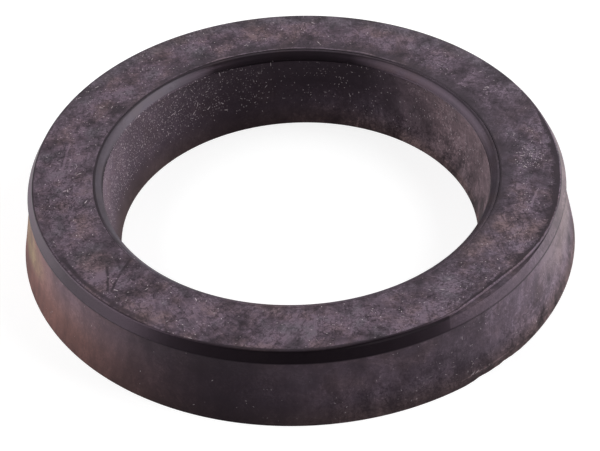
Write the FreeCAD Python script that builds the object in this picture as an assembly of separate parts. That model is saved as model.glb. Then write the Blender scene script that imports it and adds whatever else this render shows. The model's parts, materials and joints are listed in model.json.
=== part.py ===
import FreeCAD, Part
import math
import os

# U-cup seal: one moulded rubber ring that seals a sliding rod and the bore round it.
# Millimetres, +Z up. It lies heel up, on the ends of its two lips.
# The origin is on the ring's axis, in the plane on which the lips rest.

# Groove that the seal is made for
rod_diameter = 56.0
section_width = 12.0
seal_height = 12.0

# Heel: the solid back of the ring, a little slack in its groove
outer_heel_clearance = 0.55
inner_heel_clearance = 0.4
heel_depth = 4.2

# Relief bevels that run round the heel face, and the rounding of its two edges
outer_bevel_width = 0.8
outer_bevel_height = 1.4
outer_edge_radius = 0.6
inner_bevel_width = 0.5
inner_bevel_height = 1.15
inner_edge_radius = 1.2

# Lips: free of the groove they stand past the walls that they seal
outer_lip_interference = 0.9
inner_lip_interference = 1.45
lip_land_width = 0.8
lip_bevel_angle = 32.0

# Pressure groove between the lips, with a full round root
groove_depth = 6.6
groove_root_radius = 2.4
groove_wall_angle = 26.0


def crossing(point, slope, other_point, other_slope):
    """Where two lines meet, each given by a point (radius, height) and its rise in height per radius."""
    rise = other_point[1] - point[1]
    run = other_point[0] - point[0]
    radius = point[0] + (rise - other_slope * run) / (slope - other_slope)
    height = point[1] + slope * (radius - point[0])
    return radius, height


def section_corners():
    """Corners of the ring's section as (radius, height, rounding), from the outer sealing edge up and round."""
    rod_radius = rod_diameter / 2
    bore_radius = rod_radius + section_width
    heel_outer_radius = bore_radius - outer_heel_clearance
    heel_bore_radius = rod_radius + inner_heel_clearance
    outer_lip_radius = bore_radius + outer_lip_interference
    inner_lip_radius = rod_radius - inner_lip_interference
    flare_height = seal_height - heel_depth

    # The groove walls touch the round root and spread towards the lip ends.
    wall_angle = math.radians(groove_wall_angle)
    groove_radius = (heel_outer_radius + heel_bore_radius) / 2
    root_to_apex = groove_root_radius / math.sin(wall_angle) - groove_root_radius
    apex = (groove_radius, groove_depth + root_to_apex)
    wall_slope = 1 / math.tan(wall_angle)
    bevel_slope = math.tan(math.radians(lip_bevel_angle))
    outer_land_end = (outer_lip_radius - lip_land_width, 0)
    inner_land_end = (inner_lip_radius + lip_land_width, 0)
    outer_mouth = crossing(outer_land_end, -bevel_slope, apex, -wall_slope)
    inner_mouth = crossing(inner_land_end, bevel_slope, apex, wall_slope)

    return [
        (outer_lip_radius, 0, 0),
        (heel_outer_radius, flare_height, 0),
        (heel_outer_radius, seal_height - outer_bevel_height, 0),
        (heel_outer_radius - outer_bevel_width, seal_height, outer_edge_radius),
        (heel_bore_radius + inner_bevel_width, seal_height, inner_edge_radius),
        (heel_bore_radius, seal_height - inner_bevel_height, 0),
        (heel_bore_radius, flare_height, 0),
        (inner_lip_radius, 0, 0),
        (*inner_land_end, 0),
        (*inner_mouth, 0),
        (*apex, groove_root_radius),
        (*outer_mouth, 0),
        (*outer_land_end, 0),
    ]


def outline(corners):
    """Closed wire in the XZ plane through the corners, each rounded by an arc that its two sides have room for."""
    points = [FreeCAD.Vector(radius, 0, height) for radius, height, rounding in corners]
    count = len(points)
    half_angles = []
    reaches = []
    for i in range(count):
        to_last = points[i - 1] - points[i]
        to_next = points[(i + 1) % count] - points[i]
        half_angles.append(to_last.getAngle(to_next) / 2)
        reaches.append(corners[i][2] / math.tan(half_angles[i]))

    # Where two roundings would meet on one side, both give way in proportion.
    room = []
    for i in range(count):
        side = (points[(i + 1) % count] - points[i]).Length
        wanted = reaches[i] + reaches[(i + 1) % count]
        room.append(min(1, side / wanted) if wanted else 1)

    starts = []
    ends = []
    arcs = []
    for i in range(count):
        reach = reaches[i] * min(room[i - 1], room[i])
        to_last = (points[i - 1] - points[i]).normalize()
        to_next = (points[(i + 1) % count] - points[i]).normalize()
        starts.append(points[i] + to_last * reach)
        ends.append(points[i] + to_next * reach)
        arcs.append([])
        if reach:
            rounding = reach * math.tan(half_angles[i])
            inward = (to_last + to_next).normalize()
            crown = points[i] + inward * (rounding / math.sin(half_angles[i]) - rounding)
            arcs[i].append(Part.Arc(starts[i], crown, ends[i]).toShape())

    edges = []
    for i in range(count):
        next_start = starts[(i + 1) % count]
        edges.extend(arcs[i])
        if ends[i].distanceToPoint(next_start) > Part.Precision.confusion():
            edges.append(Part.LineSegment(ends[i], next_start).toShape())
    return Part.Wire(edges)


def seal_ring():
    """The whole ring: its section turned once round the axis."""
    section = Part.Face(outline(section_corners()))
    ring = section.revolve(FreeCAD.Vector(0, 0, 0), FreeCAD.Vector(0, 0, 1), 360)
    return Part.Solid(ring)


os.makedirs("parts", exist_ok=True)
seal_ring().exportStep("parts/seal_ring.step")
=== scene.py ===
"""A moulded rubber U-cup seal, lying heel up on the ends of its two lips on a pale studio floor.

Lengths are in metres and angles in radians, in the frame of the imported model: +Z up, with the
origin on the ring's axis in the plane that the lips rest on. The camera stands on the -Y side. The
patterns in the rubber and the trimming of its edges are in millimetres.
"""

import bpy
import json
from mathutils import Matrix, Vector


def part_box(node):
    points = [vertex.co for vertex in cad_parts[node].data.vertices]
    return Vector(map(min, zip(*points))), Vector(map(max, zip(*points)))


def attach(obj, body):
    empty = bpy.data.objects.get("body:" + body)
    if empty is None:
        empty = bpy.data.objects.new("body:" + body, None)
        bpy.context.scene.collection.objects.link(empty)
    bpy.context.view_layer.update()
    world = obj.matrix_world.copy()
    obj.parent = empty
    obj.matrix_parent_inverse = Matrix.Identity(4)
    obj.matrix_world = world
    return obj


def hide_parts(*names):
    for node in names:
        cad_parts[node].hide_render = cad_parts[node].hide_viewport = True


bl_info = {
    "name": "U-cup seal",
    "version": (1, 0, 0),
    "blender": (4, 5, 0),
    "location": "View3D > Sidebar > Seal",
    "description": "Models a moulded rubber U-cup seal, its dusty black rubber and its studio",
    "category": "Add Mesh",
}

import json
import math
from functools import partial, reduce
from types import SimpleNamespace

import bmesh
import bpy
from mathutils import Matrix, Vector, noise

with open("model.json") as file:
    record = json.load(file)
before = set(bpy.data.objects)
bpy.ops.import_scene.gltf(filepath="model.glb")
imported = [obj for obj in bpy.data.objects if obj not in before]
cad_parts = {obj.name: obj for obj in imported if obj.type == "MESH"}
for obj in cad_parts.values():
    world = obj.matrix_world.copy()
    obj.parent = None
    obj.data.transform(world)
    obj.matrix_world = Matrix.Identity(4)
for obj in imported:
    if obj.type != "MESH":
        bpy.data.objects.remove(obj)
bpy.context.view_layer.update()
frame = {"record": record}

MM = 0.001
NODE = "seal_ring"
BODY = "root"
LOW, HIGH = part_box(NODE)
MOUNTS = {mount["name"]: mount for mount in frame["record"]["mounts"]}
LENGTH = {"subtype": "DISTANCE", "unit": "LENGTH"}

# Places on the ring that the patterns go by, in millimetres
MID_RADIUS = 34
FACE_FROM = 11.3
OUTER_CREASE = 10.38
INNER_CREASE = 10.85

# Sizes of the patterns, in millimetres. A pixel of the render is 0.15 mm wide, so whatever is
# finer than that in life is drawn as coarse as it needs to be to show.
CLOUD = 3.5  # blotches of bloom
TINT = 5  # places where the dust is browner or greyer
DRIFT = 6  # places where grains and lint have gathered
GRAIN = 0.4  # specks of dust, really 0.05 to 0.1, so drawn coarser, with finer steps in the noise
WAVER = 4  # how often a worn or hand-trimmed edge wavers
SLOW_WAVER = 9
STREAK_APART, STREAK_LONG = 1.6, 14  # where oil and fingers have drawn dirt down the wall
WIPE_TILE, WIPE_LONG, WIPE_WIDE = 9, 3.5, 0.28  # strokes of a cloth, whose threads are 0.3 apart
PALE_HAIR, DARK_HAIR = 1.6, 2.6  # between hairs and cracks, really 0.02 wide, so drawn wider
FINE_LINT = {"spacing": 0.42, "length": 0.28, "width": 0.1}  # fibres, really 0.02 wide
LONG_LINT = {"spacing": 1.3, "length": 0.75, "width": 0.12}

# Scratches on the heel face, each from one point to another in millimetres
DARK_SCRATCHES = [
    ((-27.3, -19.2), (-27.0, -25.2)),
    ((-23.9, -18.2), (-25.5, -21.2)),
    ((-25.3, -20.8), (-26.7, -25.3)),
]
PALE_SCRATCHES = [
    ((34.5, -6.2), (33.3, -10.3)),
    ((-33.6, 8.9), (-34.6, 1.6)),
]


class SealSizes(bpy.types.PropertyGroup):
    """Sizes of the ring's section, as radii from its axis and heights over its lips."""

    height: bpy.props.FloatProperty(
        name="Height", description="From the lip ends to the heel face",
        default=HIGH.z - LOW.z, min=1 * MM, **LENGTH)
    outer_lip: bpy.props.FloatProperty(
        name="Outer lip", description="Radius of the outer sealing edge, free of its bore",
        default=HIGH.x, min=1 * MM, **LENGTH)
    inner_lip: bpy.props.FloatProperty(
        name="Inner lip", description="Radius of the inner sealing edge, free of its rod",
        default=26.55 * MM, min=1 * MM, **LENGTH)
    heel_outer: bpy.props.FloatProperty(
        name="Heel outside", description="Radius of the heel's outer wall",
        default=MOUNTS["housing_seat"]["dims"]["r_mm"] * MM, min=1 * MM, **LENGTH)
    heel_bore: bpy.props.FloatProperty(
        name="Heel bore", description="Radius of the heel's bore",
        default=MOUNTS["rod_bore"]["dims"]["r_mm"] * MM, min=1 * MM, **LENGTH)
    heel_depth: bpy.props.FloatProperty(
        name="Heel depth", description="From the heel face down to where the lips start to flare",
        default=4.2 * MM, min=0, **LENGTH)
    groove_depth: bpy.props.FloatProperty(
        name="Groove depth", description="From the lip ends up to the root of their groove",
        default=6.6 * MM, min=0, **LENGTH)


class RubberColours(bpy.types.PropertyGroup):
    """Colours of the rubber and of what lies on it, as sRGB hex."""

    rubber: bpy.props.StringProperty(
        name="Rubber", description="Clean moulded black rubber", default="0a0709")
    bloom: bpy.props.StringProperty(
        name="Bloom", description="Grey film that the rubber sweats out", default="6c5d69")
    violet: bpy.props.StringProperty(
        name="Violet", description="The same film where it is bluer", default="746673")
    clay: bpy.props.StringProperty(
        name="Clay", description="Pinkish brown dust in the bloom", default="796462")
    silt: bpy.props.StringProperty(
        name="Silt", description="Warm brown dirt on the left of the outer wall", default="866763")
    rust: bpy.props.StringProperty(
        name="Rust", description="Redder dirt below it", default="825c54")
    sand: bpy.props.StringProperty(
        name="Sand", description="A yellowish place high on the left", default="98866a")
    # Painted highlight: a pale tint of the film high on the right wall, where the right lamp lights
    # it
    right_highlight: bpy.props.StringProperty(
        name="Chalk", description="Pale dry dust high on the right wall", default="a3958f")
    slate: bpy.props.StringProperty(
        name="Slate", description="Cool grey film where the bloom is thin", default="5b5d61")
    lint: bpy.props.StringProperty(
        name="Lint", description="Pale flecks of dust and lint", default="c0b4b8")
    sheen: bpy.props.StringProperty(
        name="Sheen", description="Tint of what the rubber mirrors", default="e8c8e2")


class StageSettings(bpy.types.PropertyGroup):
    """The floor, the lamps and the camera."""

    floor: bpy.props.StringProperty(
        name="Floor", description="Colour of the floor to the eye", default="b4b4b4")
    floor_glow: bpy.props.FloatProperty(
        name="Floor glow", description="How much the floor shines to the eye, where 1 is white",
        default=0.72, min=0)
    bounce: bpy.props.StringProperty(
        name="Bounce", description="Colour of the light off the floor", default="b0b0b0")
    distance: bpy.props.FloatProperty(
        name="Camera distance", description="From the lens to the ring's centre",
        default=397.4 * MM, min=10 * MM, **LENGTH)
    elevation: bpy.props.FloatProperty(
        name="Camera elevation", description="How high the camera stands over the floor",
        default=math.radians(40.556), subtype="ANGLE", unit="ROTATION")
    lens: bpy.props.FloatProperty(
        name="Lens", description="Focal length in millimetres on a 36 mm frame",
        default=159.76, min=1)


def linear(colour):
    """RGBA in linear light from an sRGB hex colour."""
    channels = [int(colour[i:i + 2], 16) / 255 for i in (0, 2, 4)]
    return [c / 12.92 if c <= 0.04045 else ((c + 0.055) / 1.055) ** 2.4 for c in channels] + [1]


def add_node(tree, kind, inputs=(), **settings):
    """Adds a node with its settings. Inputs are values or links, in socket order or by socket.

    A Map Range takes a value, the range it runs over and the range it becomes. A Mix takes its
    share in socket 0, numbers in 2 and 3, vectors in 4 and 5, and colours in 6 and 7.
    """
    node = tree.nodes.new("ShaderNode" + kind)
    for name, value in settings.items():
        setattr(node, name, value)
    pairs = inputs.items() if isinstance(inputs, dict) else enumerate(inputs)
    for key, value in pairs:
        if isinstance(value, bpy.types.Node):
            value = next(output for output in value.outputs if output.enabled)
        if isinstance(value, bpy.types.NodeSocket):
            tree.links.new(value, node.inputs[key])
        else:
            node.inputs[key].default_value = value
    return node


def new_material(name):
    """An empty node material and its tree."""
    material = bpy.data.materials.new(name)
    material.use_nodes = True
    material.node_tree.nodes.clear()
    return material, material.node_tree


def turned_cells(tree, sheet, size, most):
    """Place in each cell of a flat sheet, turned by up to an angle, and the cell's own chances."""
    add = partial(add_node, tree)
    cells = add("TexVoronoi", {"Vector": sheet, "Scale": 1 / size}, voronoi_dimensions="2D")
    chance = add("SeparateXYZ", (cells.outputs["Color"],))
    away = add("VectorMath", (sheet, cells.outputs["Position"]), operation="SUBTRACT")
    turn = add("Math", (chance.outputs[0], most), operation="MULTIPLY")
    along = add("VectorRotate", {"Vector": away, "Angle": turn}, rotation_type="Z_AXIS")
    return along, chance, cells.outputs["Color"]


def flecks(tree, sheet, spacing, length, width, share):
    """Mask of short flecks on a flat sheet, one to a cell, in any direction. A share is there."""
    add = partial(add_node, tree)
    along, chance, _ = turned_cells(tree, sheet, spacing, most=2 * math.pi)
    spread = add("VectorMath", (along, (2 / length, 2 / width, 0)), operation="MULTIPLY")
    reach = add("VectorMath", (spread,), operation="LENGTH").outputs["Value"]
    size = add("MapRange", (chance.outputs[2], 0, 1, 0.5, 1.1))
    inside = add("Math", (reach, size), operation="DIVIDE")
    shape = add("MapRange", (inside, 1.1, 0.7), interpolation_type="SMOOTHSTEP")
    there = add("Math", (chance.outputs[1], share), operation="LESS_THAN")
    bright = add("MapRange", (chance.outputs[2], 0, 1, 0.25, 1))
    shown = add("Math", (shape, bright), operation="MULTIPLY")
    return add("Math", (shown, there), operation="MULTIPLY")


def strokes(tree, sheet, tile, length, width):
    """Noise drawn out into fine lines on a flat sheet, in a direction that changes by the tile."""
    along, _, colour = turned_cells(tree, sheet, tile, most=math.pi)
    drawn = add_node(tree, "VectorMath", (along, (1 / length, 1 / width, 0)), operation="MULTIPLY")
    shifted = add_node(tree, "VectorMath", (drawn, colour), operation="ADD")
    settings = {"Vector": shifted, "Scale": 1, "Detail": 3, "Roughness": 0.6}
    return add_node(tree, "TexNoise", settings)


def hairs(tree, place, spacing, width, seed):
    """Mask of fine wandering lines, where a noise is within a width of its middle value."""
    add = partial(add_node, tree)
    settings = {"Vector": place, "Scale": 1 / spacing, "Detail": 3, "Roughness": 0.6, "W": seed}
    wander = add("TexNoise", settings, noise_dimensions="4D")
    off = add("Math", (add("Math", (wander, 0.5), operation="SUBTRACT"),), operation="ABSOLUTE")
    return add("MapRange", (off, 0, width, 1, 0), interpolation_type="SMOOTHSTEP")


def line_mask(tree, track, middle, width):
    """Mask of a thin line with soft sides, where a track passes a value."""
    add = partial(add_node, tree)
    off = add("Math", (add("Math", (track, middle), operation="SUBTRACT"),), operation="ABSOLUTE")
    return add("MapRange", (off, 0.3 * width, width, 1, 0), interpolation_type="SMOOTHSTEP")


def ring_line(tree, track, wobble, at, width, wander):
    """Mask of one thin line right round the ring, at a radius or height, that wanders a little."""
    shaken = add_node(tree, "Math", (wobble, wander, track), operation="MULTIPLY_ADD")
    return line_mask(tree, shaken, at + wander / 2, width)


def scratch(tree, sheet, wobble, start, end, width):
    """Mask of one scratch between two points on a flat sheet, a little crooked."""
    add = partial(add_node, tree)
    crook = 1.2  # how far it strays to the side
    fade = 0.5  # over which it starts and ends
    length = math.dist(start, end)
    way = ((end[0] - start[0]) / length, (end[1] - start[1]) / length, 0)
    side = (-way[1], way[0], 0)
    away = add("VectorMath", (sheet, (*start, 0)), operation="SUBTRACT")
    along = add("VectorMath", (away, way), operation="DOT_PRODUCT").outputs["Value"]
    across = add("VectorMath", (away, side), operation="DOT_PRODUCT").outputs["Value"]
    bent = add("Math", (wobble, crook, across), operation="MULTIPLY_ADD")
    narrow = line_mask(tree, bent, crook / 2, width)
    begun = add("MapRange", (along, 0, fade, 0, narrow))
    return add("MapRange", (along, length - fade, length, begun, 0))


def scratches(tree, sheet, wobble, lines, width):
    """Mask of several scratches, each between two points on a flat sheet."""
    masks = [scratch(tree, sheet, wobble, start, end, width) for start, end in lines]
    return reduce(lambda a, b: add_node(tree, "Math", (a, b), operation="MAXIMUM"), masks)


def soft_oval(tree, sheet, centre, radii):
    """Mask of one soft oval place on a flat sheet."""
    add = partial(add_node, tree)
    away = add("VectorMath", (sheet, (*centre, 0)), operation="SUBTRACT")
    spread = add("VectorMath", (away, (1 / radii[0], 1 / radii[1], 0)), operation="MULTIPLY")
    reach = add("VectorMath", (spread,), operation="LENGTH").outputs["Value"]
    return add("MapRange", (reach, 1.25, 0.5), interpolation_type="SMOOTHSTEP")


def ring_places(tree):
    """Where a point of the ring lies, and the noises and masks that several patterns share."""
    add = partial(add_node, tree)
    at = SimpleNamespace()
    metres = add("TexCoord").outputs["Object"]
    at.place = add("VectorMath", {0: metres, "Scale": 1 / MM}, operation="SCALE")
    at.x, at.y, at.z = add("SeparateXYZ", (at.place,)).outputs
    at.flat = add("VectorMath", (at.place, (1, 1, 0)), operation="MULTIPLY")
    at.radius = add("VectorMath", (at.flat,), operation="LENGTH").outputs["Value"]
    angle = add("Math", (at.y, at.x), operation="ARCTAN2")
    arc = add("Math", (angle, MID_RADIUS), operation="MULTIPLY")
    at.unrolled = add("CombineXYZ", (arc, at.z, 0))
    at.on_face = add("Math", (at.z, FACE_FROM), operation="GREATER_THAN")
    at.sheet = add("Mix", {0: at.on_face, 4: at.unrolled, 5: at.flat}, data_type="VECTOR")
    at.outside = add("Math", (at.radius, MID_RADIUS), operation="GREATER_THAN")
    at.to_right = add("MapRange", (at.x, 6, 30))
    at.to_left = add("MapRange", (at.x, -10, -32))

    at.wobble = add("TexNoise", {"Vector": at.place, "Scale": 1 / WAVER, "Detail": 4})
    at.grains = add("TexNoise", {
        "Vector": at.place, "Scale": 1 / GRAIN, "Detail": 4, "Roughness": 0.75})
    at.clouds = add("TexNoise", {
        "Vector": at.place, "Scale": 1 / CLOUD, "Detail": 6, "Roughness": 0.65})
    at.drifts = add("TexNoise", {"Vector": at.place, "Scale": 1 / DRIFT, "Detail": 2, "W": 8},
                    noise_dimensions="4D")

    # Which part of the section it is: a wall, a bevel, how far under the face, the rounding
    crease_height = add("Mix", {0: at.outside, 2: INNER_CREASE, 3: OUTER_CREASE})
    at.over_crease = add("Math", (at.z, crease_height), operation="SUBTRACT")
    at.walls = add("MapRange", (at.over_crease, 0.12, -0.03))
    bevel_limit = add("Mix", {0: at.outside, 2: 11.95, 3: 11.84})
    at.under_limit = add("Math", (bevel_limit, at.z), operation="SUBTRACT")
    at.smooth_skirt = add("MapRange", (at.under_limit, 0, 0.08, 0, at.outside))
    at.calm = add("Math", (at.smooth_skirt, at.walls), operation="MAXIMUM")
    below_face = add("MapRange", (at.z, 11.97, 11.93))
    above_crease = add("MapRange", (at.z, 10.75, 10.85, 0, below_face))
    at.rounding = add("Math", (above_crease, at.outside), operation="GREATER_THAN")

    # The step in the dark band, where the bevel was trimmed wider by hand
    way = add("VectorMath", (at.place, (1, 0.11, 0)), operation="DOT_PRODUCT").outputs["Value"]
    at.past_notch = add("MapRange", (way, 16.3, 16.5))

    # The groove between the lips
    outer_limit = add("MapRange", (at.z, 0, 7.8, 40.5, 39.05))
    inner_limit = add("MapRange", (at.z, 0, 7.8, 26.95, 28.8))
    within = add("Math", (at.radius, outer_limit), operation="LESS_THAN")
    beyond = add("Math", (at.radius, inner_limit), operation="GREATER_THAN")
    low_down = add("Math", (at.z, 7.2), operation="LESS_THAN")
    between = add("Math", (within, beyond), operation="MULTIPLY")
    at.in_groove = add("Math", (between, low_down), operation="MULTIPLY")

    # A quiet place at the back right of the heel face, thinner and greyer than the rest
    at.quiet = soft_oval(tree, at.flat, centre=(29, 19), radii=(8, 13))

    # Radii that the wear of each rim follows. They waver, and the inner rim is worn wider at the
    # back, the outer one in front and, raggedly, at the near right.
    inner_drift = add("MapRange", (at.wobble, 0.3, 0.7, -0.12, 0.12))
    inner_track = add("Math", (at.radius, inner_drift), operation="ADD")
    at.inner_track = add("Math", (at.y, -0.009, inner_track), operation="MULTIPLY_ADD")
    slow = add("TexNoise", {"Vector": at.place, "Scale": 1 / SLOW_WAVER, "Detail": 1})
    outer_drift = add("MapRange", (slow, 0.3, 0.7, -0.08, 0.08))
    in_front = soft_oval(tree, at.flat, centre=(-3, -38), radii=(16, 4))
    bared = add("MapRange", (in_front, 0, 1, outer_drift, 0.35))
    near_right = add("MapRange", (at.x, 19, 27, 0, 1.45))
    right_bare = add("MapRange", (at.y, 4, 14, near_right, 0))
    worn = add("Math", (at.grains, at.wobble), operation="ADD")
    ragged_bare = add("MapRange", (worn, 0.8, 1.15, bared, right_bare))
    bare_strip = add("Math", (ragged_bare, bared), operation="MAXIMUM")
    at.drawn_radius = add("Attribute", attribute_name="drawn_radius").outputs["Fac"]
    at.outer_track = add("Math", (at.drawn_radius, bare_strip), operation="ADD")
    return at


def face_wear_and_shade(tree, at):
    """Film on the heel face as rods and hands have left it: bare at both rims, whole between.
    Beside the inner rim it thins, partly as painted shade where the face dips to the rim.
    """
    add = partial(add_node, tree)
    inner_rim = add("MapRange", (at.inner_track, 29.68, 29.85), interpolation_type="SMOOTHSTEP")
    outer_rim = add("MapRange", (at.outer_track, 38.6, 38.3), interpolation_type="SMOOTHSTEP")
    rims = add("Math", (inner_rim, outer_rim), operation="MULTIPLY")

    # Beside the bare rims the film is thinner, most of all at the back and right of the inner one.
    # There it is partly painted shade, where the face dips towards the rim
    way = add("VectorMath", (at.place, (0.87, 0.5, 0)), operation="DOT_PRODUCT").outputs["Value"]
    wear_and_shade = add("MapRange", (way, -13, -3, 0.42, 0.05))
    thin_inside = add("MapRange", (at.inner_track, 30.2, 32.6, wear_and_shade, 1))
    thin_outside = add("MapRange", (at.outer_track, 36.2, 37.4, 1, 0.86))
    thinned = add("Math", (thin_inside, thin_outside), operation="MULTIPLY")
    rims_thinned = add("Math", (rims, thinned), operation="MULTIPLY")

    # A line scored along the near left of the outer rim
    scored = ring_line(tree, at.drawn_radius, at.wobble, at=37.82, width=0.52, wander=0.5)
    near_left = add("MapRange", (at.y, -13, -19, 0, at.to_left))
    scored_here = add("Math", (scored, near_left), operation="MULTIPLY")
    unscored = add("MapRange", (scored_here, 0, 1, 1, 0.06))
    return add("Math", (rims_thinned, unscored), operation="MULTIPLY")


def face_film(tree, at, wear_and_shade):
    """Film on the heel face and its rounded rims, with the lines that run round it, two of them
    painted highlights.
    """
    add = partial(add_node, tree)

    # What is left on the rims, and where the face is rubbed thinner
    near_side = add("MapRange", (at.y, -6, -18, add("MapRange", (at.x, -20, -27)), 1))
    near_strip = add("MapRange", (at.x, 5, 20, 0.55, 0.3))
    rim_strip = add("MapRange", (near_side, 0, 1, 0.26, near_strip))
    barest = add("Mix", {0: at.outside, 2: rim_strip, 3: 0.1})
    strips = add("MapRange", (wear_and_shade, 0, 1, barest, 0.7))
    rubbed = soft_oval(tree, at.flat, centre=(32.5, 11), radii=(3.5, 7))
    thinner = add("MapRange", (at.quiet, 0, 1, 1, 0.84))
    kept = add("MapRange", (rubbed, 0, 1, thinner, 0.6))
    level = add("MapRange", (at.z, 11.88, 11.98, 0, kept))

    # The groove along the inner rim, bare except at the near side: the bare black rubber is painted
    # shade, on top of the shade of the modelled groove
    far_half = add("MapRange", (at.y, -16, -8))
    rim_groove = ring_line(tree, at.radius, at.wobble, at=29.75, width=0.24, wander=0.04)
    grooved = add("Math", (rim_groove, far_half), operation="MULTIPLY")
    over_rim = add("MapRange", (grooved, 0, 1, near_side, 0.08))
    inside_only = add("Mix", {0: at.outside, 2: over_rim, 3: 0.0})
    cover = add("Math", (level, inside_only), operation="MAXIMUM")
    covered = add("Math", (strips, cover), operation="MULTIPLY")
    lined = add("MapRange", (grooved, 0, 1, covered, 0.05))

    # Painted highlights as pale lines on the outer edge at the right and along the far inner edge,
    # where the rims catch the light, and film on the cut past the notch
    edge_line = ring_line(tree, at.drawn_radius, at.wobble, at=38.56, width=0.13, wander=0.1)
    edge_right = add("MapRange", (at.x, 16, 24))
    edge_highlight = add("Math", (edge_line, edge_right), operation="MULTIPLY")
    painted_edge_highlight = add("Math", (edge_highlight, 0.85), operation="MULTIPLY")
    trimmed = add("Attribute", attribute_name="trim").outputs["Fac"]
    cut_strip = add("MapRange", (at.drawn_radius, 38.5, 38.6, 0, trimmed))
    cut_film = add("Math", (cut_strip, 0.4), operation="MULTIPLY", use_clamp=True)
    cut_side = add("Math", (cut_film, at.past_notch), operation="MULTIPLY")
    far_line = ring_line(tree, at.inner_track, at.wobble, at=29.88, width=0.16, wander=0.1)
    far_only = add("MapRange", (at.y, 22, 28, 0, far_line))
    painted_far_highlight = add("Math", (far_only, 1.2), operation="MULTIPLY")
    cut_or_far = add("Math", (cut_side, painted_far_highlight), operation="MAXIMUM")
    edge_film_and_highlights = add("Math", (painted_edge_highlight, cut_or_far), operation="MAXIMUM")
    return add("Math", (lined, edge_film_and_highlights), operation="MAXIMUM")


def bevel_film(tree, at):
    """Film on the outer bevel and the rounded inner edge: dusty at the sides, black between. The
    extra film at the sides is partly painted light from the side lamps.
    """
    add = partial(add_node, tree)
    front = add("MapRange", (at.past_notch, 0, 1, 0.02, 0.21))
    outer_right = add("MapRange", (at.x, 26, 38.5, front, 0.68))
    outer_left = add("MapRange", (at.z, 10.5, 11.5, 0.38, 0.62))
    outer = add("MapRange", (at.x, -33, -39.2, outer_right, outer_left))
    inner_far = add("MapRange", (at.x, 9, 15, 0.05, 0.42))
    inner_right = add("MapRange", (at.y, 8, 2, inner_far, 0.2))
    inner_left = add("MapRange", (at.x, -12, -20, inner_right, 1.1))
    inner_end = add("MapRange", (at.x, -24, -28, inner_left, 0.55))
    darkest = soft_oval(tree, at.flat, centre=(-29, 2), radii=(3, 4.5))
    inner = add("MapRange", (darkest, 0, 1, inner_end, 0.3))
    return add("Mix", {0: at.outside, 2: inner, 3: outer})


def wall_film(tree, at):
    """Film on the walls, dusty at both sides, where the extra film is partly painted sheen from the
    side lamps.

    Hardly any lies at the back of the bore and on the left of the front.
    """
    add = partial(add_node, tree)
    front = add("MapRange", (at.x, -10, 8, 0.11, 0.6))
    front_dip = add("MapRange", (at.x, 10, 19, front, 0.4))
    right = add("MapRange", (at.x, 22, 36, 0, 0.55))
    left = add("MapRange", (at.x, -12, -41, front_dip, 0.97), interpolation_type="SMOOTHSTEP")
    whole = add("Math", (left, right), operation="ADD")
    drawn_down = add("VectorMath", (at.unrolled, (1 / STREAK_APART, 1 / STREAK_LONG, 0)),
                     operation="MULTIPLY")
    streaks = add("TexNoise", {"Vector": drawn_down, "Scale": 1, "Detail": 3})
    streak = add("MapRange", (streaks, 0.35, 0.65, 0.82, 1.15))
    skirt = add("Math", (whole, streak), operation="MULTIPLY")

    # More film low in the back of the bore: partly dust, partly painted light that lifts the shade
    # there
    bore_bottom = add("MapRange", (at.z, 7, 2.5, 0.12, 0.6))
    bore_back = add("MapRange", (at.x, -9, 4, 0.2, bore_bottom))
    bore_right = add("MapRange", (at.x, 11, 26, bore_back, 0.95))
    bore_left = add("MapRange", (at.x, -10, -26, bore_right, 0.65))
    bore = add("MapRange", (at.x, -25, -28, bore_left, 1.05))
    sided = add("Mix", {0: at.outside, 2: bore, 3: skirt})

    # Less of it low down
    high = add("Mix", {0: at.outside, 2: 0.86, 3: 1.05})
    low_left = add("MapRange", (at.x, -22, -27, 0.6, 0.42))
    low = add("Mix", {0: at.outside, 2: low_left, 3: 0.6})
    lower = add("MapRange", (at.z, 0.5, 9, low, high))
    return add("Math", (sided, lower), operation="MULTIPLY")


def film_cover(tree, at, wear_and_shade):
    """How much film lies on each point of the ring, from 0 for clean rubber to 1, with painted
    shade and highlights in it.
    """
    add = partial(add_node, tree)
    on_bevels = bevel_film(tree, at)
    on_walls = add("MapRange", (at.walls, 0, 1, on_bevels, wall_film(tree, at)))

    # Painted shade: a dark line of bare rubber along the foot of each bevel, where the fold lies in
    # shade. And a dusty line on the flash of the outer lip
    painted_crease_shade = ring_line(tree, at.over_crease, at.wobble, at=0, width=0.2, wander=0.08)
    off_crease_shade = add("MapRange", (painted_crease_shade, 0, 1, 1, 0.06))
    film_with_crease_shade = add("Math", (on_walls, off_crease_shade), operation="MULTIPLY")
    flash_line = ring_line(tree, at.z, at.wobble, at=1.15, width=0.14, wander=0.2)
    flash_start = add("MapRange", (at.x, 21.5, 22.5))
    flash_end = add("MapRange", (at.x, 29, 30.5, flash_start, 0))
    flash_dust = add("Math", (flash_line, flash_end), operation="MULTIPLY")
    with_flash = add("Math", (flash_dust, 0.4, film_with_crease_shade), operation="MULTIPLY_ADD")

    bevel_top = add("MapRange", (at.under_limit, 0, 0.08, 0, on_bevels))
    above = add("Math", (face_film(tree, at, wear_and_shade), bevel_top), operation="MAXIMUM")
    seen = add("Mix", {0: at.on_face, 2: with_flash, 3: above})

    # The groove between the lips, which nothing shows, has an even film
    return add("MapRange", (at.in_groove, 0, 1, seen, 0.3))


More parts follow.
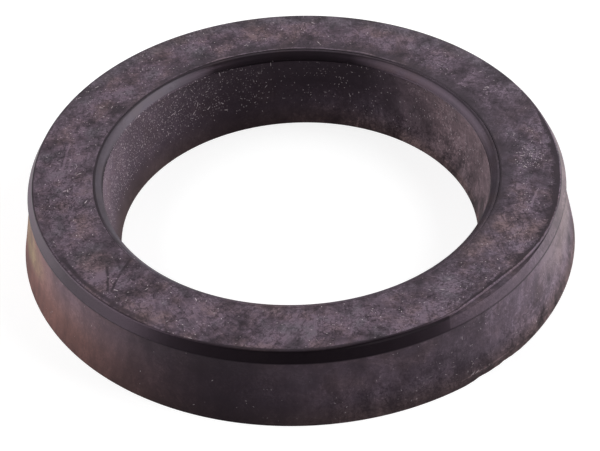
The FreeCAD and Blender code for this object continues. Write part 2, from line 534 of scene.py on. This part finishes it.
def mottling(tree, at, film):
    """How the film thickens and thins, around 1: clouds, strokes, grains, hairs and scratches."""
    add = partial(add_node, tree)
    cloud = add("MapRange", (at.clouds, 0.32, 0.68, 0.15, 1.7))
    wipes = strokes(tree, at.sheet, WIPE_TILE, WIPE_LONG, WIPE_WIDE)
    wipe = add("MapRange", (wipes, 0.3, 0.7, 0.7, 1.3))
    coarse = add("MapRange", (at.drifts, 0.4, 0.6, 1.25, 1.95))
    fine = add("MapRange", (at.drifts, 0.4, 0.6, 0.75, 0.1))
    grain = add("MapRange", (at.grains, 0.3, 0.7, fine, coarse))
    pale_hairs = hairs(tree, at.place, PALE_HAIR, width=0.035, seed=1)
    dark_hairs = hairs(tree, at.place, DARK_HAIR, width=0.025, seed=5)
    paled = add("MapRange", (pale_hairs, 0, 1, 0.92, 1.5))
    cracked = add("MapRange", (dark_hairs, 0, 1, 1, 0.45))
    haired = add("Math", (paled, cracked), operation="MULTIPLY")
    dark_marks = scratches(tree, at.flat, at.wobble, DARK_SCRATCHES, width=0.3)
    pale_marks = scratches(tree, at.flat, at.wobble, PALE_SCRATCHES, width=0.22)
    scratched = add("MapRange", (dark_marks, 0, 1, haired, 0.25))
    scraped = add("MapRange", (pale_marks, 0, 1, scratched, 1.9))
    patchy = add("Math", (cloud, wipe), operation="MULTIPLY")
    grainy = add("Math", (patchy, grain), operation="MULTIPLY")
    mottled = add("Math", (grainy, scraped), operation="MULTIPLY")

    # It is calmer on the walls, on thin film and on the rounded inner edge
    low_mottle = add("MapRange", (at.z, 6, 2.5, 0.6, 1))
    skirt_mottle = add("MapRange", (at.x, -5, 10, 0.3, low_mottle))
    roughened = add("Mix", {0: at.calm, 2: 1.0, 3: skirt_mottle})
    settled = add("MapRange", (film, 0.1, 0.45, 0.4, roughened))
    strength = add("MapRange", (at.rounding, 0, 1, settled, 0.15))
    return add("Mix", {0: strength, 2: 1, 3: mottled})


def dust_colour(tree, at, colours):
    """Colour of the film: purplish bloom, browner or greyer by places, dirt on the left, and a
    painted highlight high on the right.
    """
    add = partial(add_node, tree)
    tints = add("TexNoise", {
        "Vector": at.place, "Scale": 1 / TINT, "Detail": 5, "Roughness": 0.65, "W": 3},
        noise_dimensions="4D")
    bloom = add("Mix", {0: at.to_right, 6: linear(colours.bloom), 7: linear(colours.violet)},
                data_type="RGBA")

    # Browner: in patches, in one place on the left, in the bore's right side and low on the lips
    face_warmth = add("MapRange", (at.quiet, 0, 1, 0.7, 0.1))
    warmest = add("MapRange", (at.calm, 0, 1, face_warmth, 0.3))
    warm = add("MapRange", (tints, 0.48, 0.66, 0, warmest))
    tanned = soft_oval(tree, at.flat, centre=(-29, -18.5), radii=(3, 2.6))
    tan = add("Math", (tanned, 0.5), operation="MULTIPLY")
    bore_clay = add("MapRange", (at.x, 12, 22, 0, 0.55))
    clay_inside = add("MapRange", (at.outside, 0, 1, bore_clay, 0))
    clay_wall = add("Math", (clay_inside, at.walls), operation="MULTIPLY")
    tan_or_clay = add("Math", (tan, clay_wall), operation="MAXIMUM")
    lip_dirt = add("MapRange", (at.z, 3.6, 0.6, 0, 0.9))
    tanned_or_dirty = add("Math", (tan_or_clay, lip_dirt), operation="MAXIMUM")
    warmer = add("Math", (warm, tanned_or_dirty), operation="MAXIMUM")
    warmed = add("Mix", {0: warmer, 6: bloom, 7: linear(colours.clay)}, data_type="RGBA")

    # Greyer: in patches, at both rims of the face and on the rounded inner edge at the left
    coolest = add("MapRange", (at.calm, 0, 1, 0.5, 0.15))
    cool = add("MapRange", (tints, 0.47, 0.34, 0, coolest))
    cool_inside = add("MapRange", (at.inner_track, 31.8, 30.4, 0, 0.12))
    back_edge = add("MapRange", (at.outer_track, 36, 37.2, 0, 0.4))
    at_back = add("MapRange", (at.y, 10, 24, 0, back_edge))
    cool_edges = add("Mix", {0: at.outside, 2: cool_inside, 3: at_back})
    cool_face = add("Math", (cool_edges, at.on_face), operation="MULTIPLY")
    crescent = add("MapRange", (at.x, -10, -18, 0, 0.6))
    cool_crescent = add("Math", (crescent, at.rounding), operation="MULTIPLY")
    cool_places = add("Math", (cool_face, cool_crescent), operation="MAXIMUM")
    cooler = add("Math", (cool, cool_places), operation="MAXIMUM")
    cooled = add("Mix", {0: cooler, 6: warmed, 7: linear(colours.slate)}, data_type="RGBA")

    # Painted highlight: the film is paler high on the right wall, where the right lamp lights it
    right_highlight_side = add("MapRange", (at.x, 32, 40, 0, 0.5))
    high_up = add("MapRange", (at.z, 2.5, 7, 0, right_highlight_side))
    right_highlight_here = add("Math", (high_up, at.smooth_skirt), operation="MULTIPLY")
    dust = add("Mix", {0: right_highlight_here, 6: cooled, 7: linear(colours.right_highlight)}, data_type="RGBA")

    # Brown dirt on the left wall, redder below, yellowish in one place, and grey high up towards
    # the front
    reddish = add("MapRange", (at.z, 7.5, 2.5, 0, 0.85))
    silt = add("Mix", {0: reddish, 6: linear(colours.silt), 7: linear(colours.rust)},
               data_type="RGBA")
    sandy_angle = -3  # radians round from the right
    sandy_place = soft_oval(
        tree, at.sheet, centre=(sandy_angle * MID_RADIUS, 7), radii=(8, 3.5))
    sandy_clouds = add("MapRange", (at.clouds, 0.35, 0.6, 0.25, 0.8))
    sandy = add("Math", (sandy_place, sandy_clouds), operation="MULTIPLY")
    dirt = add("Mix", {0: sandy, 6: silt, 7: linear(colours.sand)}, data_type="RGBA")
    left_wall = add("Math", (at.to_left, at.walls), operation="MULTIPLY")
    left_outside = add("Math", (left_wall, at.outside), operation="MULTIPLY")
    left_skirt = add("MapRange", (at.in_groove, 0, 1, left_outside, 0))
    high_left = add("MapRange", (at.z, 4, 9, 0, 0.7))
    still_grey = add("MapRange", (at.x, -38, -34, 0, high_left))
    dirty = add("MapRange", (still_grey, 0, 1, left_skirt, 0))
    return add("Mix", {0: dirty, 6: dust, 7: dirt}, data_type="RGBA")


def lint_cover(tree, at, wear_and_shade):
    """Mask of the lint. It gathers in drifts, most at the left of the bore, with little outside."""
    add = partial(add_node, tree)
    drifted = add("MapRange", (at.drifts, 0.42, 0.62, 0.08, 0.55))
    bore_end = add("MapRange", (at.x, -21, -26, 0.5, 0.95))
    bore_side = add("MapRange", (at.x, -2, -18, 0, bore_end))
    bore_drift = add("Math", (drifted, 0.6, bore_side), operation="MULTIPLY_ADD")
    bore_share = add("MapRange", (at.z, 2, 5, 0, bore_drift))
    skirt_spots = add("MapRange", (at.x, -5, 25, 0.05, 0.25))
    over_land = add("MapRange", (at.z, 0.3, 0.9, 0, skirt_spots))
    skirt_share = add("Math", (drifted, over_land), operation="MULTIPLY")
    either_share = add("Mix", {0: at.outside, 2: bore_share, 3: skirt_share})
    open_walls = add("MapRange", (at.in_groove, 0, 1, at.walls, 0))
    wall_share = add("Math", (either_share, open_walls), operation="MULTIPLY")
    specked_place = soft_oval(tree, at.flat, centre=(33.6, 0.5), radii=(3, 4))
    face_lint = add("MapRange", (specked_place, 0, 1, 0.3, 1.6))
    face_drift = add("Math", (drifted, face_lint), operation="MULTIPLY")
    face_share = add("Math", (face_drift, wear_and_shade), operation="MULTIPLY")
    share = add("Mix", {0: at.on_face, 2: wall_share, 3: face_share})
    long_share = add("Math", (share, 0.6), operation="MULTIPLY")
    fine_lint = flecks(tree, at.sheet, **FINE_LINT, share=share)
    long_lint = flecks(tree, at.sheet, **LONG_LINT, share=long_share)
    lint = add("Math", (fine_lint, long_lint), operation="MAXIMUM")
    strength = add("MapRange", (at.smooth_skirt, 0, 1, 0.9, 0.6))
    return add("Math", (lint, strength), operation="MULTIPLY")


def moulded_rubber(colours):
    """Compression-moulded nitrile rubber: black and softly glossy, or matt and grey where bloomed.

    Carbon black makes it nearly black, and the polished mould gives it a soft gloss. The bloom that
    it sweats out and the dust that sticks to it hide both.
    """
    material, tree = new_material("moulded_nitrile_rubber")
    add = partial(add_node, tree)
    at = ring_places(tree)
    wear_and_shade = face_wear_and_shade(tree, at)
    film = film_cover(tree, at, wear_and_shade)
    # The film brings its painted shade and highlights into the base colour with it
    dusty = add("Math", (film, mottling(tree, at, film)), operation="MULTIPLY", use_clamp=True)
    base = add("Mix", {0: dusty, 6: linear(colours.rubber), 7: dust_colour(tree, at, colours)},
               data_type="RGBA")
    specked = add("Mix", {0: lint_cover(tree, at, wear_and_shade), 6: base, 7: linear(colours.lint)},
                  data_type="RGBA")
    matt = add("MapRange", (dusty, 0, 0.8, 0.3, 0.7))
    relief = add("Bump", {"Strength": 0.25, "Distance": 0.05 * MM, "Height": at.grains})
    shader = add("BsdfPrincipled", {
        "Base Color": specked, "Roughness": matt, "IOR": 1.5,
        "Specular Tint": linear(colours.sheen), "Normal": relief})
    add("OutputMaterial", {"Surface": shader})
    return material


def painted_board(stage):
    """Matt painted board: plain white to the eye and in the rubber's gloss, throwing little light.

    In front of the ring and inside it the rubber mirrors it dark, as in the photograph.
    """
    material, tree = new_material("matt_painted_board")
    add = partial(add_node, tree)
    smooth = {"interpolation_type": "SMOOTHSTEP"}
    rays = add("LightPath")
    metres = add("TexCoord").outputs["Object"]
    place = add("SeparateXYZ", (metres,))

    # The gloss sees it white where it lies behind the ring or beside it, and clear of it
    behind = add("MapRange", (place.outputs[1], -50 * MM, 10 * MM), **smooth)
    sideways = add("Math", (place.outputs[0],), operation="ABSOLUTE")
    beside = add("MapRange", (sideways, 35 * MM, 70 * MM, behind, 1), **smooth)
    away = add("VectorMath", (metres,), operation="LENGTH").outputs["Value"]
    clear = add("MapRange", (away, 43 * MM, 55 * MM, 0, beside), **smooth)
    mirrored = add("Math", (rays.outputs["Is Glossy Ray"], clear), operation="MULTIPLY")
    shown = add("Math", (rays.outputs["Is Camera Ray"], mirrored), operation="MAXIMUM")
    dim = add("BsdfDiffuse", {"Color": linear(stage.bounce)})
    lit = add("BsdfDiffuse", {"Color": linear(stage.floor)})
    glow = add("Emission", {"Strength": stage.floor_glow})
    white = add("AddShader", (lit, glow))
    seen = add("MixShader", (shown, dim, white))
    add("OutputMaterial", {"Surface": seen})
    return material


def section_corners(sizes):
    """Corners of the ring's section as radius, height and rounding, from the outer lip up."""
    top = sizes.height
    flare = top - sizes.heel_depth
    wall, bore = sizes.heel_outer, sizes.heel_bore
    middle = (wall + bore) / 2
    bend = 12 * MM  # rounding where a lip starts to flare
    sharp = 0.08 * MM  # rounding of a crisp moulded edge
    land = 0.8 * MM  # flat that a lip stands on
    root = 2.4 * MM  # radius of the groove's full round root
    groove_angle = 26  # of the groove's walls, in degrees from upright
    root_reach = root * math.tan(math.radians(90 - groove_angle) / 2)

    # Where the bevelled end of each lip meets the groove's wall: in from the lip's edge, and up
    inner_in, inner_up = 3.47 * MM, 1.67 * MM
    outer_in, outer_up = 2.895 * MM, 1.31 * MM
    return [
        (sizes.outer_lip, 0, sharp),
        (wall, flare, bend),

        # Outer bevel
        (wall, top - 1.6 * MM, 0),
        (wall - 0.7 * MM, top - 0.2 * MM, 0),
        (wall - 0.8 * MM, top, 0.3 * MM),

        # Thin groove along the inner rim of the heel face
        (bore + 1.42 * MM, top, 0),
        (bore + 1.37 * MM, top - 0.09 * MM, 0),
        (bore + 1.3 * MM, top - 0.02 * MM, 0),

        # Rounded inner edge, with a thin groove at its foot
        (bore + 0.5 * MM, top, 1.16 * MM),
        (bore + 0.04 * MM, top - 1.06 * MM, 0),
        (bore + 0.09 * MM, top - 1.15 * MM, 0),
        (bore, top - 1.26 * MM, 0),

        # Inner lip, the groove between the lips, and the end of the outer lip
        (bore, flare, bend),
        (sizes.inner_lip, 0, sharp),
        (sizes.inner_lip + land, 0, sharp),
        (sizes.inner_lip + inner_in, inner_up, sharp),
        (middle - root_reach, sizes.groove_depth, root),
        (middle + root_reach, sizes.groove_depth, root),
        (sizes.outer_lip - outer_in, outer_up, sharp),
        (sizes.outer_lip - land, 0, sharp),
    ]


def round_corner(bm, corner, rounding):
    """Turns a corner of a wire into an arc of that radius that stays short of the next corners."""
    short_of = 0.999
    step = 8  # degrees
    a, b = (edge.other_vert(corner).co - corner.co for edge in corner.link_edges)
    half_angle = a.angle(b) / 2
    reach = min(rounding / math.tan(half_angle), short_of * a.length, short_of * b.length)
    steps = max(2, math.ceil(math.degrees(math.pi - 2 * half_angle) / step))
    bmesh.ops.bevel(bm, geom=[corner], offset=reach, offset_type="OFFSET", affect="VERTICES",
                    segments=steps, profile=0.5, material=-1)


def spin_about_axis(bm, angle, steps, copies):
    """Spins all of a mesh about Z, either drawn out into faces or as copies."""
    bmesh.ops.spin(bm, geom=bm.verts[:] + bm.edges[:] + bm.faces[:], cent=(0, 0, 0), axis=(0, 0, 1),
                   dvec=(0, 0, 0), angle=angle, steps=steps, use_merge=False, use_duplicate=copies)


def ring_mesh(sizes, slices, steps_in_slice, spacing):
    """The ring's section, rounded and divided, drawn out into a slice that is repeated round."""
    bm = bmesh.new()
    corners = section_corners(sizes)
    verts = [bm.verts.new((radius, 0, height)) for radius, height, _ in corners]
    for i, vert in enumerate(verts):
        bm.edges.new((verts[i - 1], vert))
    for vert, (_, _, rounding) in zip(verts, corners):
        if rounding:
            round_corner(bm, vert, rounding)
    for edge in list(bm.edges):
        cuts = int(edge.calc_length() / spacing)
        if cuts:
            bmesh.ops.subdivide_edges(bm, edges=[edge], cuts=cuts)
    slice_angle = 2 * math.pi / slices
    spin_about_axis(bm, slice_angle, steps_in_slice, copies=False)
    spin_about_axis(bm, 2 * math.pi - slice_angle, slices - 1, copies=True)
    bmesh.ops.remove_doubles(bm, verts=bm.verts, dist=0.001 * MM)
    bmesh.ops.recalc_face_normals(bm, faces=bm.faces)
    return bm


def trim_depth(degrees):
    """How far the outer edge of the heel face is set back by the hand trim, in millimetres.

    There are two cuts. The deeper one stops short at one end, which leaves a step in the edge.
    """
    step = -59.5
    wide = 0.95 * math.exp(-((degrees + 45) / 13) ** 2) if degrees > step else 0
    narrow = 0.42 * math.exp(-((degrees + 66) / 17) ** 4)
    return max(wide, narrow)


def trim_edges(bm):
    """Sets back the outer edge of the heel face and the ragged flash on the lip, as if by hand.

    The radius that each point had before and the depth of the trim stay on the mesh for the film.
    """
    drawn_radius = bm.verts.layers.float.new("drawn_radius")
    trim = bm.verts.layers.float.new("trim")
    seen_from = 36  # radius from which the film knows the trim
    cut_from, cut_width, cut_height = 36.6, 1.7, 11.82
    lip_edge, lip_height = 40.3, 0.6
    flash_start, flash_end, flash_depth = -57, -42, 0.16
    for vert in bm.verts:
        radius = math.hypot(vert.co.x, vert.co.y) / MM
        height = vert.co.z / MM
        degrees = math.degrees(math.atan2(vert.co.y, vert.co.x))
        vert[drawn_radius] = radius
        inward = 0
        if radius > seen_from and height > FACE_FROM:
            vert[trim] = trim_depth(degrees)
        if radius > cut_from and height > cut_height:
            inward = trim_depth(degrees) * min((radius - cut_from) / cut_width, 1)
        if radius > lip_edge and height < lip_height and flash_start < degrees < flash_end:
            waves = noise.noise(Vector((degrees * 0.9, 0.5, 0)))
            ragged = waves + 0.5 * noise.noise(Vector((degrees * 3.1, 7.5, 0)))
            ends = min((degrees - flash_start) / 2, (flash_end - degrees) / 4, 1)
            inward = (flash_depth + flash_depth * ragged) * ends
        vert.co.x *= 1 - inward / radius
        vert.co.y *= 1 - inward / radius


def lean_heel(bm, sizes, shift):
    """Shifts the heel along X over the lips, in a smooth rise, as soft rubber leans."""
    flare = sizes.height - sizes.heel_depth
    for vert in bm.verts:
        rise = min(vert.co.z / flare, 1)
        vert.co.x += shift * rise * rise * (3 - 2 * rise)


class OBJECT_OT_add_seal_ring(bpy.types.Operator):
    """Adds the moulded rubber ring in place of the plain one"""

    bl_idname = "object.add_seal_ring"
    bl_label = "Add seal ring"

    def execute(self, context):
        sizes = context.scene.seal_sizes
        bm = ring_mesh(sizes, slices=24, steps_in_slice=20, spacing=0.5 * MM)
        trim_edges(bm)
        lean_heel(bm, sizes, shift=-0.16 * MM)
        mesh = bpy.data.meshes.new("moulded_ring")
        bm.to_mesh(mesh)
        bm.free()
        mesh.shade_smooth()
        mesh.set_sharp_from_angle(angle=math.radians(16))
        mesh.materials.append(moulded_rubber(context.scene.seal_colours))
        ring = bpy.data.objects.new("moulded_ring", mesh)
        context.scene.collection.objects.link(ring)
        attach(ring, BODY)
        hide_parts(NODE)
        return {"FINISHED"}


def add_soft_box(name, place, facing, width, height, brightness):
    """A soft lamp whose flat face looks in a direction and is so bright, where 1 is white."""
    light = bpy.data.lights.new(name, "AREA")
    light.shape = "RECTANGLE"
    light.size = width
    light.size_y = height
    light.energy = brightness * math.pi * width * height
    lamp = bpy.data.objects.new(name, light)
    lamp.location = place
    lamp.rotation_euler = Vector(facing).to_track_quat("-Z", "Y").to_euler()
    bpy.context.scene.collection.objects.link(lamp)


def add_studio_world():
    """A room that is white to the eye and throws only a little light."""
    room_light = 0.06
    full = (1, 1, 1, 1)
    world = bpy.data.worlds.new("studio")
    world.use_nodes = True
    tree = world.node_tree
    tree.nodes.clear()
    rays = add_node(tree, "LightPath")
    room = add_node(tree, "Background", {"Color": full, "Strength": room_light})
    white = add_node(tree, "Background", {"Color": full, "Strength": 1})
    sky = add_node(tree, "MixShader", (rays.outputs["Is Camera Ray"], room, white))
    add_node(tree, "OutputWorld", {"Surface": sky})
    bpy.context.scene.world = world


def add_camera(stage):
    """A camera that looks at the ring's centre, but for small turns that match the photograph."""
    tilt, pan, roll = (math.radians(degrees) for degrees in (0.160, -0.013, -2.322))
    data = bpy.data.cameras.new("camera")
    data.lens = stage.lens
    data.sensor_width = 36
    data.clip_start = 0.01
    camera = bpy.data.objects.new("camera", data)
    raised = Matrix.Rotation(math.pi / 2 - stage.elevation, 4, "X")
    aim = Matrix.Rotation(tilt, 4, "X") @ Matrix.Rotation(pan, 4, "Y")
    place = raised @ Vector((0, 0, stage.distance))
    camera.matrix_world = Matrix.Translation(place) @ raised @ aim @ Matrix.Rotation(roll, 4, "Z")
    bpy.context.scene.collection.objects.link(camera)
    bpy.context.scene.camera = camera


class SCENE_OT_add_seal_stage(bpy.types.Operator):
    """Adds the floor, the lamps and the camera"""

    bl_idname = "scene.add_seal_stage"
    bl_label = "Add stage"

    def execute(self, context):
        stage = context.scene.seal_stage
        bm = bmesh.new()
        reach = 3  # metres to each side, past the camera and the lamps
        bmesh.ops.create_grid(bm, x_segments=1, y_segments=1, size=reach)
        mesh = bpy.data.meshes.new("floor")
        bm.to_mesh(mesh)
        bm.free()
        mesh.materials.append(painted_board(stage))
        floor = bpy.data.objects.new("floor", mesh)
        context.scene.collection.objects.link(floor)

        add_studio_world()
        add_soft_box("left_box", place=(-0.6, 0.03, 0.46), facing=(1, 0, 0),
                     width=0.76, height=0.9, brightness=3.4)
        add_soft_box("right_box", place=(0.6, 0.03, 0.46), facing=(-1, 0, 0),
                     width=0.74, height=0.9, brightness=4.2)
        add_soft_box("back_box", place=(0, 0.8, 0.62), facing=(0, -0.8, -0.62),
                     width=0.9, height=0.4, brightness=1.0)
        add_camera(stage)
        context.scene.view_settings.view_transform = "Standard"
        return {"FINISHED"}


class VIEW3D_PT_seal(bpy.types.Panel):
    """The seal's sizes, colours and stage"""

    bl_label = "U-cup seal"
    bl_space_type = "VIEW_3D"
    bl_region_type = "UI"
    bl_category = "Seal"

    def draw(self, context):
        scene = context.scene
        for group in (scene.seal_sizes, scene.seal_colours, scene.seal_stage):
            box = self.layout.box()
            for name in group.__annotations__:
                box.prop(group, name)
        self.layout.operator(OBJECT_OT_add_seal_ring.bl_idname)
        self.layout.operator(SCENE_OT_add_seal_stage.bl_idname)


CLASSES = (
    SealSizes,
    RubberColours,
    StageSettings,
    OBJECT_OT_add_seal_ring,
    SCENE_OT_add_seal_stage,
    VIEW3D_PT_seal,
)


def register():
    for item in CLASSES:
        bpy.utils.register_class(item)
    bpy.types.Scene.seal_sizes = bpy.props.PointerProperty(type=SealSizes)
    bpy.types.Scene.seal_colours = bpy.props.PointerProperty(type=RubberColours)
    bpy.types.Scene.seal_stage = bpy.props.PointerProperty(type=StageSettings)


def unregister():
    del bpy.types.Scene.seal_stage
    del bpy.types.Scene.seal_colours
    del bpy.types.Scene.seal_sizes
    for item in reversed(CLASSES):
        bpy.utils.unregister_class(item)


def main():
    register()
    bpy.ops.object.add_seal_ring()
    bpy.ops.scene.add_seal_stage()


if __name__ == "__main__":
    main()
